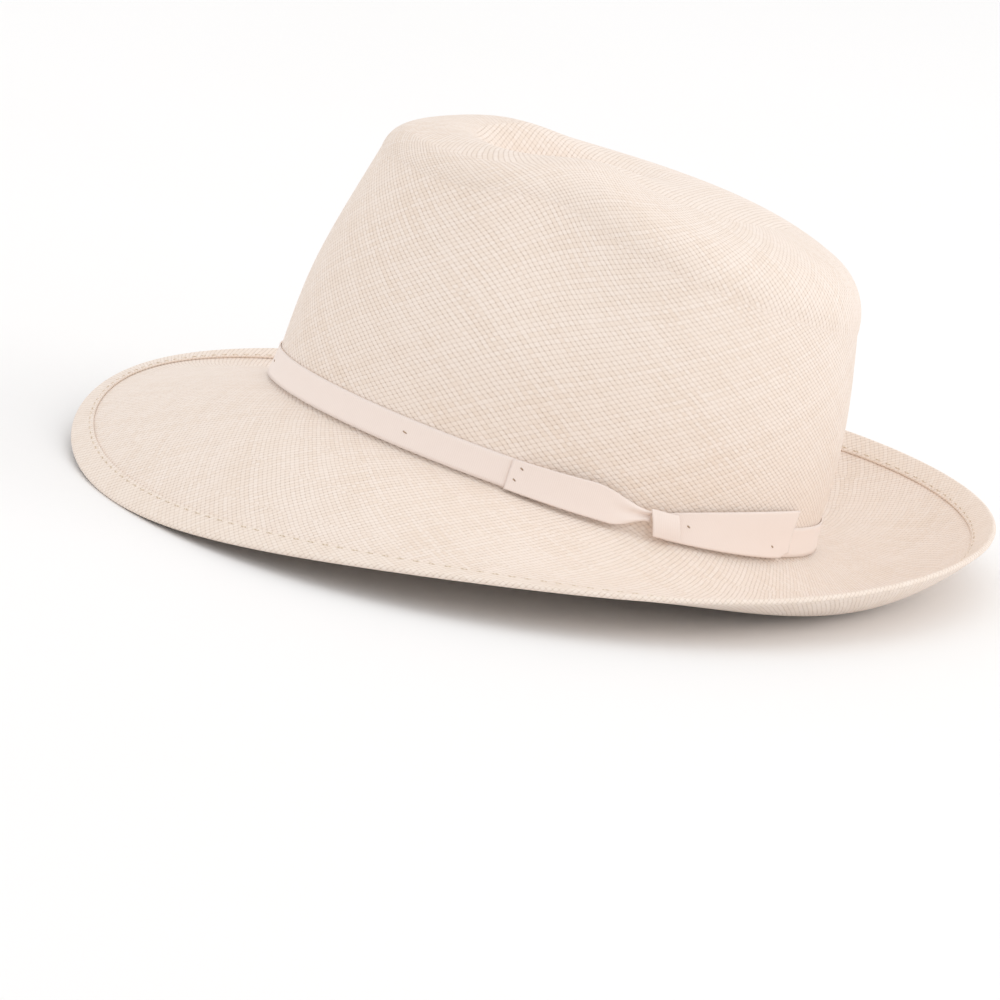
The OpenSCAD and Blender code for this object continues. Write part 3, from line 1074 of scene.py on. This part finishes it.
@dataclass
class RibbonTrim:
    """Ribbon band round the crown's foot, with a flat bow on the wearer's left.

    Fields ending in from and to, and the knot's lean, are turns in degrees, and the rest is
    in millimetres. Each tack is a turn and a height; on the bow, also its distance above the band.
    """

    form: HatForm = FORM
    band_from: float = 117.0
    band_to: float = 425.0
    loop_from: float = 57.0
    loop_to: float = 85.8
    loop_low: float = 0.5
    loop_high: float = 10.8
    loop_spread: float = 2.4
    loop_swell: float = 1.5
    neck_low: float = 3.9
    neck_high: float = 5.2
    neck_pleat: float = 0.5
    knot_from: float = 85.0
    knot_to: float = 90.8
    knot_lean: float = 1.7
    knot_lift: float = 0.6
    knot_low: float = 0.4
    knot_height: float = 8.7
    knot_bulge: float = 2.4
    tail_from: float = 89.6
    tail_to: float = 124.7
    tail_low: float = -0.1
    tail_rise: float = 0.9
    tail_cut: float = 1.6
    tail_high: float = 8.9
    tail_fan: float = 15.4
    tail_ease: float = 7.0
    tail_swell: float = 0.6
    band_tacks: tuple[tuple[float, ...], ...] = ((34, 6.2), (340, 6.0), (290, 5.5), (236, 6.0), (168, 6.0))
    bow_tacks: tuple[tuple[float, ...], ...] = (
        (58.8, 8.8, 0.9),
        (58.1, 4.6, 0.75),
        (93.8, 6.3, 1.3),
        (117.2, 4.8, 1.05),
    )
    finish: bpy.types.Material = field(default_factory=lambda: GrosgrainRibbon().make())
    thread: bpy.types.Material = field(
        default_factory=lambda: CottonThread("cotton_thread_tacks", light="B79C82", dark="8C725A").make()
    )

    def strip(
        self, name: str, turn: np.ndarray, height: np.ndarray, out: np.ndarray, node: str
    ) -> bpy.types.Object:
        """Makes a ribbon strip from its places on the crown's wall.

        Args:
            name: Name of the piece.
            turn: Angles, rows by columns.
            height: Heights above the opening, in the same layout.
            out: Distances of the outer face from the wall.
            node: The CAD node it stands for.

        Returns:
            The strip, with its thickness.
        """
        points = self.form.wall(turn, height, out)
        middle = points[len(points) // 2]
        along = np.concatenate([[0.0], np.cumsum(np.linalg.norm(np.diff(middle, axis=0), axis=-1))])
        stood = self.form.stand(points)
        piece = loft(name, stood, Closing.OPEN, even_pattern(stood, along))
        piece.data.materials.append(self.finish)
        thicken(piece, self.form.ribbon)
        return place(piece, Slot.RIBBON, node)

    def band(self) -> bpy.types.Object:
        """The band itself, drawn tight round the crown's foot; its two ends lie under the bow.

        Returns:
            The band.
        """
        share, across = shares(308, 8)
        turn = self.band_from + (self.band_to - self.band_from) * share
        height = self.form.band_low + self.form.band_height * across
        piece = self.strip("ribbon_band", turn, height, self.form.band_face(height), "hat_band")
        return piece

    def loop(self) -> bpy.types.Object:
        """The bow's flat strip, gathered into the knot at its rear end.

        Returns:
            The strip.
        """
        share, across = shares(64, 20)
        turn = self.loop_from + (self.loop_to - self.loop_from) * share
        bottom = self.loop_low + self.neck_low * smooth(share, 0.72, 1.0)
        top = self.loop_high + self.loop_spread * share - self.neck_high * smooth(share, 0.55, 1.0)
        height = bottom + (top - bottom) * across
        pleat = self.neck_pleat * smooth(share, 0.66, 0.95) * np.sin(3 * math.pi * across)
        arch = self.loop_swell * sine(180.0 * share) + self.knot_lift * share
        out = self.form.bow_face(height) + self.form.ribbon + arch + pleat
        piece = self.strip("bow_strip", turn, height, out, "bow_loop")
        return piece

    def tail(self) -> bpy.types.Object:
        """The bow's tail, which fans out behind the knot, over the band and the crown's wall.

        Returns:
            The tail.
        """
        share, across = shares(64, 20)
        turn = self.tail_from + (self.tail_to - self.tail_from) * share
        bottom = self.tail_low + self.tail_rise * share + self.tail_cut * smooth(share, 0.88, 1.0)
        top = self.tail_high + self.tail_fan * share - self.tail_ease * share * share
        height = bottom + (top - bottom) * across
        arch = self.tail_swell * sine(180.0 * share) + self.knot_lift * (1.0 - share)
        out = self.form.bow_face(height) + self.form.ribbon + arch
        piece = self.strip("bow_tail_strip", turn, height, out, "bow_tail")
        return piece

    def knot(self) -> bpy.types.Object:
        """The short wrap that holds the bow together.

        Returns:
            The wrap.
        """
        share, across = shares(24, 24)
        turn = self.knot_from + (self.knot_to - self.knot_from) * share + self.knot_lean * (1.0 - across)
        height = self.knot_low + self.knot_height * across
        rise = 0.35 + 0.65 * sine(30.0 + 120.0 * across)
        out = self.form.bow_face(height) + self.knot_lift + self.form.ribbon + self.form.gap
        piece = self.strip("bow_knot_wrap", turn, height, out + self.knot_bulge * rise, "bow_knot")
        return piece

    def tack(
        self, name: str, spots: np.ndarray, out: np.ndarray, step: tuple[float, float]
    ) -> bpy.types.Object:
        """Sews a few short tack stitches.

        Args:
            name: Name of the piece that holds them.
            spots: Turn and height of each one's start.
            out: Distances from the wall.
            step: Turn and height from a stitch's start to its end.

        Returns:
            The stitches.
        """
        turn, height = spots[:, 0], spots[:, 1]
        start = self.form.wall(turn, height, out)
        end = self.form.wall(turn + step[0], height + step[1], out)
        return stitch_row(name, self.form.stand(np.stack([start, end], axis=1)), self.thread)

    def tacks(self) -> None:
        """The short tack stitches on the band and on the bow."""
        spots = np.array(self.band_tacks)
        piece = self.tack("band_tacks", spots, self.form.band_face(spots[:, 1]), (1.0, -0.4))
        place(piece, Slot.TACK, "band_tack_stitches")
        spots = np.array(self.bow_tacks)
        piece = self.tack("bow_tacks", spots, self.form.bow_face(spots[:, 1]) + spots[:, 2], (0.7, -0.6))
        place(piece, Slot.TACK, "bow_tack_stitches")

    def build(self) -> None:
        """Builds every piece of ribbon and its tacks."""
        self.band()
        self.loop()
        self.tail()
        self.knot()
        self.tacks()


@dataclass
class Sweatband:
    """Leather band turned up inside the crown, with the reed that stiffens its lower edge."""

    form: HatForm = FORM
    columns: int = 288
    girth: float = 570.0
    height: float = 32.0
    low: float = 1.2
    out: float = -1.6
    thickness: float = 0.9
    reed_radius: float = 1.1
    reed_gap: float = 0.1
    stitches: int = 84
    stitch_rise: float = 2.0
    thread_gap: float = 0.05
    seam_stitches: int = 7
    seam_rise: float = 4.0
    seam_margin: float = 6.0
    seam_half_angle: float = 0.94

    def leather(self) -> bpy.types.Object:
        """The leather strip.

        Returns:
            The strip, with its thickness.
        """
        share, across = shares(self.columns, 16)
        points = self.form.wall(360.0 * share - 180.0, self.low + self.height * across, self.out)
        stood = self.form.stand(points)
        piece = loft("leather_sweatband", stood, Closing.ROUND, even_pattern(stood, self.girth * share[0]))
        piece.data.materials.append(SheepskinLeather().make())
        thicken(piece, self.thickness)
        place(piece, Slot.LEATHER, "sweatband")
        return piece

    def reed(self) -> bpy.types.Object:
        """The reed under the leather's lower edge, in its woven tape.

        Returns:
            The reed.
        """
        turn = np.linspace(-180.0, 180.0, self.columns + 1)
        centre = self.out - self.thickness / 2
        level = self.form.foot_z(turn) + self.low - self.reed_radius - self.reed_gap
        rows = [
            self.form.beside(turn, centre + self.reed_radius * c, level + self.reed_radius * s)
            for c, s in ((math.cos(a), math.sin(a)) for a in np.linspace(0.0, 2 * math.pi, 17))
        ]
        stood = self.form.stand(np.stack(rows))
        along = np.linspace(0.0, self.girth, self.columns + 1)
        piece = loft("sweatband_reed_tape", stood, Closing.RING, even_pattern(stood, along))
        # The tape's darker valleys are painted shade, as on the ribbon.
        tape = GrosgrainRibbon(name="cotton_tape_over_reed", face="E6D8C4", valley_shade="CFBDA6", rib=0.9)
        piece.data.materials.append(tape.make())
        return place(piece, Slot.REED, "sweatband_reed")

    def sew(self) -> None:
        """The stitching along the lower edge and the zigzag of the rear seam."""
        thread = CottonThread(name="cotton_thread_sweatband", light="DCC9AE", dark="B79F82").make()
        face = self.out - self.thickness - self.thread_gap
        step = 360.0 / self.stitches
        start = np.arange(self.stitches) * step
        level = self.low + self.stitch_rise
        ends = np.stack(
            [self.form.wall(start, level, face), self.form.wall(start + step * 0.5, level, face)], axis=1
        )
        piece = stitch_row("sweatband_row_stitch", self.form.stand(ends), thread)
        place(piece, Slot.SWEAT_THREAD, "sweatband_stitching")
        rise = (self.height - self.seam_margin) / self.seam_stitches
        low = self.low + self.seam_rise
        pairs = [
            (
                self.form.wall(180.0 - half, low + count * rise, face),
                self.form.wall(180.0 + half, low + (count + 0.8) * rise, face),
            )
            for count in range(self.seam_stitches)
            for half in (-self.seam_half_angle, self.seam_half_angle)
        ]
        piece = stitch_row("sweatband_seam_zigzag", self.form.stand(np.array(pairs)), thread)
        place(piece, Slot.SWEAT_THREAD, "sweatband_seam_stitches")

    def build(self) -> None:
        """Builds the sweatband's pieces."""
        self.leather()
        self.reed()
        self.sew()


@dataclass
class Studio:
    """Pale floor, soft lights and the camera, in metres."""

    camera_at: tuple[float, float, float] = (1.96373, -1.19819, 0.55552)
    aim: tuple[float, float, float] = (0.00315, -0.01475, -0.01392)
    roll: float = 10.776
    lens: float = 249.76
    sky: float = 0.977
    key_at: tuple[float, float, float] = (1.0, 1.9, 0.9)
    key_size: float = 1.2
    key_watts: float = 8.9
    top_at: tuple[float, float, float] = (0.0, 0.0, 2.2)
    top_size: float = 1.8
    top_watts: float = 5.0
    light_aim: tuple[float, float, float] = (0.0, 0.0, 0.03)
    floor_radius: float = 30.0
    floor_gap: float = 0.00005

    def floor(self) -> None:
        """The table top, just under the brim's lowest point."""
        low = CAD_BOX[0][2] - self.floor_gap
        bpy.ops.object.select_all(action="DESELECT")
        bpy.ops.mesh.primitive_circle_add(
            vertices=96, radius=self.floor_radius, fill_type="NGON", location=(0, 0, low)
        )
        floor = bpy.context.object
        floor.name = "floor"
        bpy.ops.object.transform_apply(location=True)
        material, tree, shader = new_material("matte_paper_floor")
        spot = add_node(tree, "ShaderNodeTexCoord").outputs["Object"]
        grain = add_node(tree, "ShaderNodeTexNoise", {"Vector": spot, "Scale": 3.0, "Detail": 2.0})
        colour = add_node(
            tree,
            "ShaderNodeMix",
            {"Factor": grain.outputs[0], "A": linear("F4F3F2"), "B": linear("F6F5F5")},
            data_type="RGBA",
        )
        tree.links.new(colour.outputs[2], shader.inputs["Base Color"])
        # Uncoated paper: no gloss.
        shader.inputs["Roughness"].default_value = 0.9
        shader.inputs["Specular IOR Level"].default_value = 0.2
        floor.data.materials.append(material)

    def lights(self) -> None:
        """A bright even sky, a large soft key from the hat's rear left and a softer one overhead."""
        world = bpy.data.worlds.new("studio")
        bpy.context.scene.world = world
        world.use_nodes = True
        sky = world.node_tree.nodes["Background"]
        sky.inputs["Color"].default_value = linear("FFFFFF")
        sky.inputs["Strength"].default_value = self.sky
        for name, spot, side, watts in (
            ("key", self.key_at, self.key_size, self.key_watts),
            ("overhead", self.top_at, self.top_size, self.top_watts),
        ):
            bpy.ops.object.select_all(action="DESELECT")
            bpy.ops.object.light_add(type="AREA", location=spot)
            light = bpy.context.object
            light.name = name
            light.data.size = side
            light.data.energy = watts
            aim = Vector(self.light_aim) - Vector(spot)
            light.rotation_euler = aim.to_track_quat("-Z", "Y").to_euler()

    def camera(self) -> None:
        """The long-lens camera at the wearer's front left, held a little askew."""
        bpy.ops.object.select_all(action="DESELECT")
        bpy.ops.object.camera_add(location=self.camera_at)
        camera = bpy.context.object
        camera.name = "camera"
        camera.data.sensor_width = 36.0
        camera.data.lens = self.lens
        camera.data.clip_start, camera.data.clip_end = 0.05, 100.0
        look = (Vector(self.aim) - Vector(self.camera_at)).to_track_quat("-Z", "Y").to_matrix().to_4x4()
        turned = look @ Matrix.Rotation(math.radians(self.roll), 4, "Z")
        camera.matrix_world = Matrix.Translation(self.camera_at) @ turned
        bpy.context.scene.camera = camera

    def build(self) -> None:
        """Sets up the whole studio."""
        bpy.context.scene.view_settings.view_transform = "Standard"
        self.floor()
        self.lights()
        self.camera()


def main() -> None:
    """Builds the hat in the order that a hatter trims it."""
    logging.basicConfig(level=logging.INFO, format="%(name)s: %(message)s")
    Studio().build()
    StrawBody().build()
    hem = FoldedHem()
    hem.build()
    hem.sew()
    RibbonTrim().build()
    Sweatband().build()


if __name__ == "__main__":
    main()
